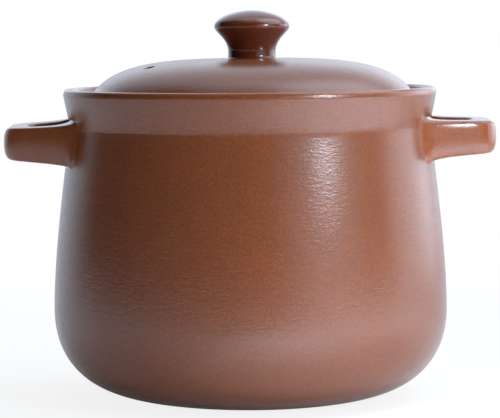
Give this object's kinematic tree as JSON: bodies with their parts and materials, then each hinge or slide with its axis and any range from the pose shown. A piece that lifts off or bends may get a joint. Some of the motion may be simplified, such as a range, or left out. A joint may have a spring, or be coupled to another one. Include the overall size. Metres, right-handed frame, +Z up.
{
  "type": "lidded clay casserole",
  "caption": "Round glazed clay casserole with a wide gently bellied wall, two loop handles at the neck and a low domed lid with a waisted knob and a steam vent.",
  "frame": {"origin": "middle of the foot, on the surface that the pot stands on", "axes": "+Z up along the pot's axis, X along the line through the two handles, -Y towards the front"},
  "size_m": [0.2728, 0.2182, 0.2127],
  "materials": {
    "satin_brown_glaze": "satin reddish-brown glaze over clay, with a fine orange-peel grain",
    "gloss_brown_glaze": "glossier and darker reddish-brown glaze over clay"
  },
  "bodies": {
    "pot": {"pot_body": "satin_brown_glaze", "handle_left": "gloss_brown_glaze", "handle_right": "gloss_brown_glaze"},
    "lid": {"lid": "satin_brown_glaze", "knob": "gloss_brown_glaze"}
  },
  "joints": [
    {"name": "lid_lift", "type": "slide", "parent": "pot", "child": "lid", "axis": [0, 0, 1], "range_m": [0, 0.08]}
  ]
}
